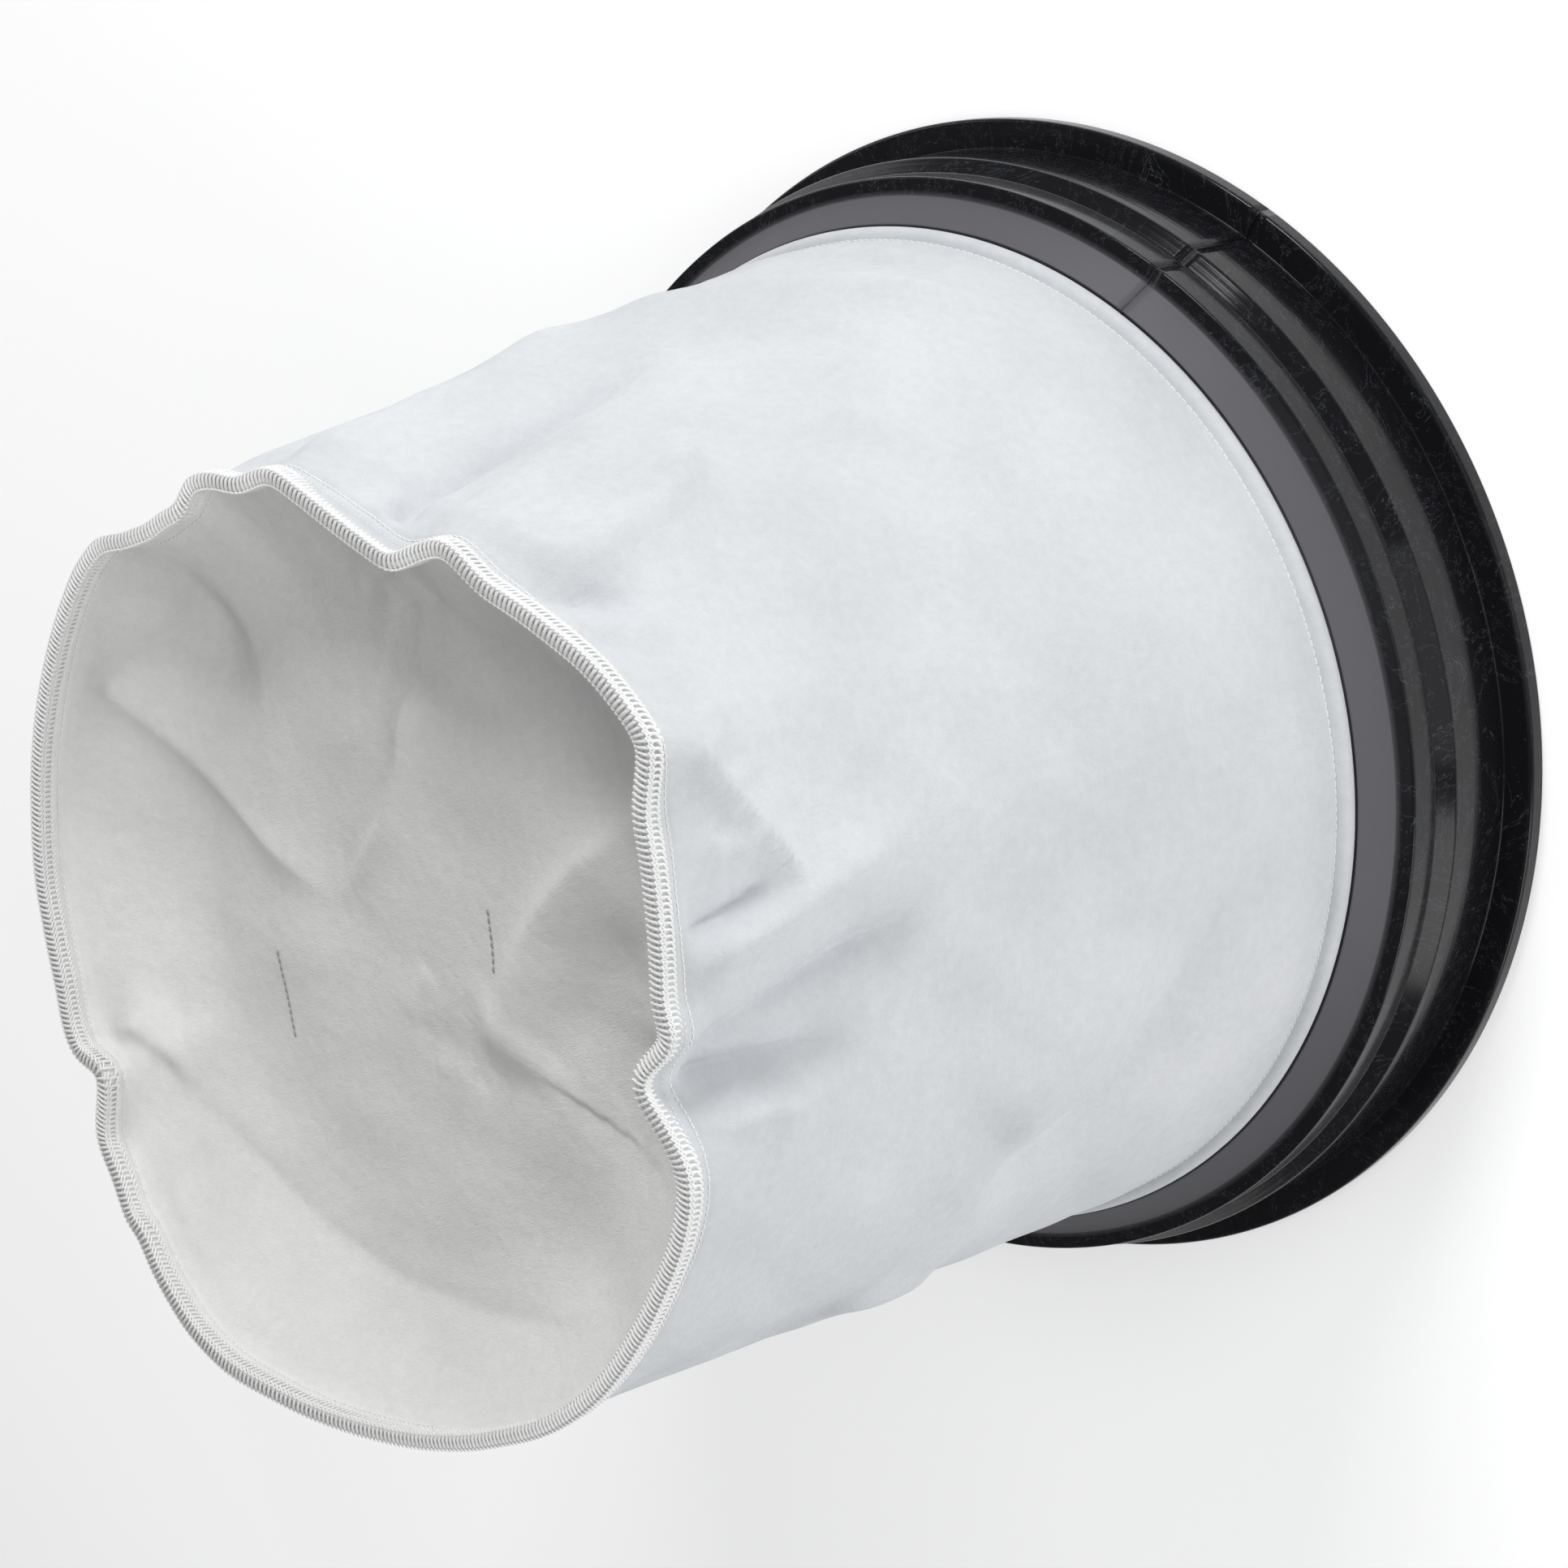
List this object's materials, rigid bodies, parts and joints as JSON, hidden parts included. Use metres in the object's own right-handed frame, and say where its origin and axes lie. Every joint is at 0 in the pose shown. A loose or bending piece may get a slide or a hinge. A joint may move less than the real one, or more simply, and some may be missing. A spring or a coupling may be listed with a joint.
{
  "type": "dust collector filter bag",
  "caption": "Tapered needle-felt filter bag with a sewn-in dished end panel, hung from a stepped rubber seal ring for a drum-type dust collector.",
  "frame": {"origin": "centre of the seal ring on its back face, which is also the bottom centre of the part's box", "axes": "+Z along the ring's axis towards the closed end of the bag; the part stands on its ring; the bonded splice of the ring is at 307 degrees from +X"},
  "size_m": [0.44, 0.44, 0.3474],
  "materials": {
    "ring_rubber": "satin black rubber, extruded, glossy on the nose",
    "splice_adhesive": "cured black adhesive",
    "needle_felt": "white needle-punched polyester felt",
    "panel_felt": "white needle-punched polyester felt, creased",
    "sewing_thread": "white polyester sewing thread",
    "overlock_thread": "white textured polyester looper thread",
    "cord": "twisted polyester piping cord",
    "webbing": "woven polyester webbing"
  },
  "bodies": {
    "root": {"seal_ring": "ring_rubber", "splice_bond": "splice_adhesive", "filter_sleeve": "needle_felt", "side_seam_stitch_left": "sewing_thread", "side_seam_stitch_right": "sewing_thread", "hem_cord": "cord", "collar_stitch": "sewing_thread", "bottom_panel": "panel_felt", "rim_overlock": "overlock_thread", "rim_needle_stitch": "sewing_thread", "rim_lockstitch": "sewing_thread", "pull_strap": "webbing", "strap_tack_left": "sewing_thread", "strap_tack_right": "sewing_thread"}
  },
  "joints": []
}
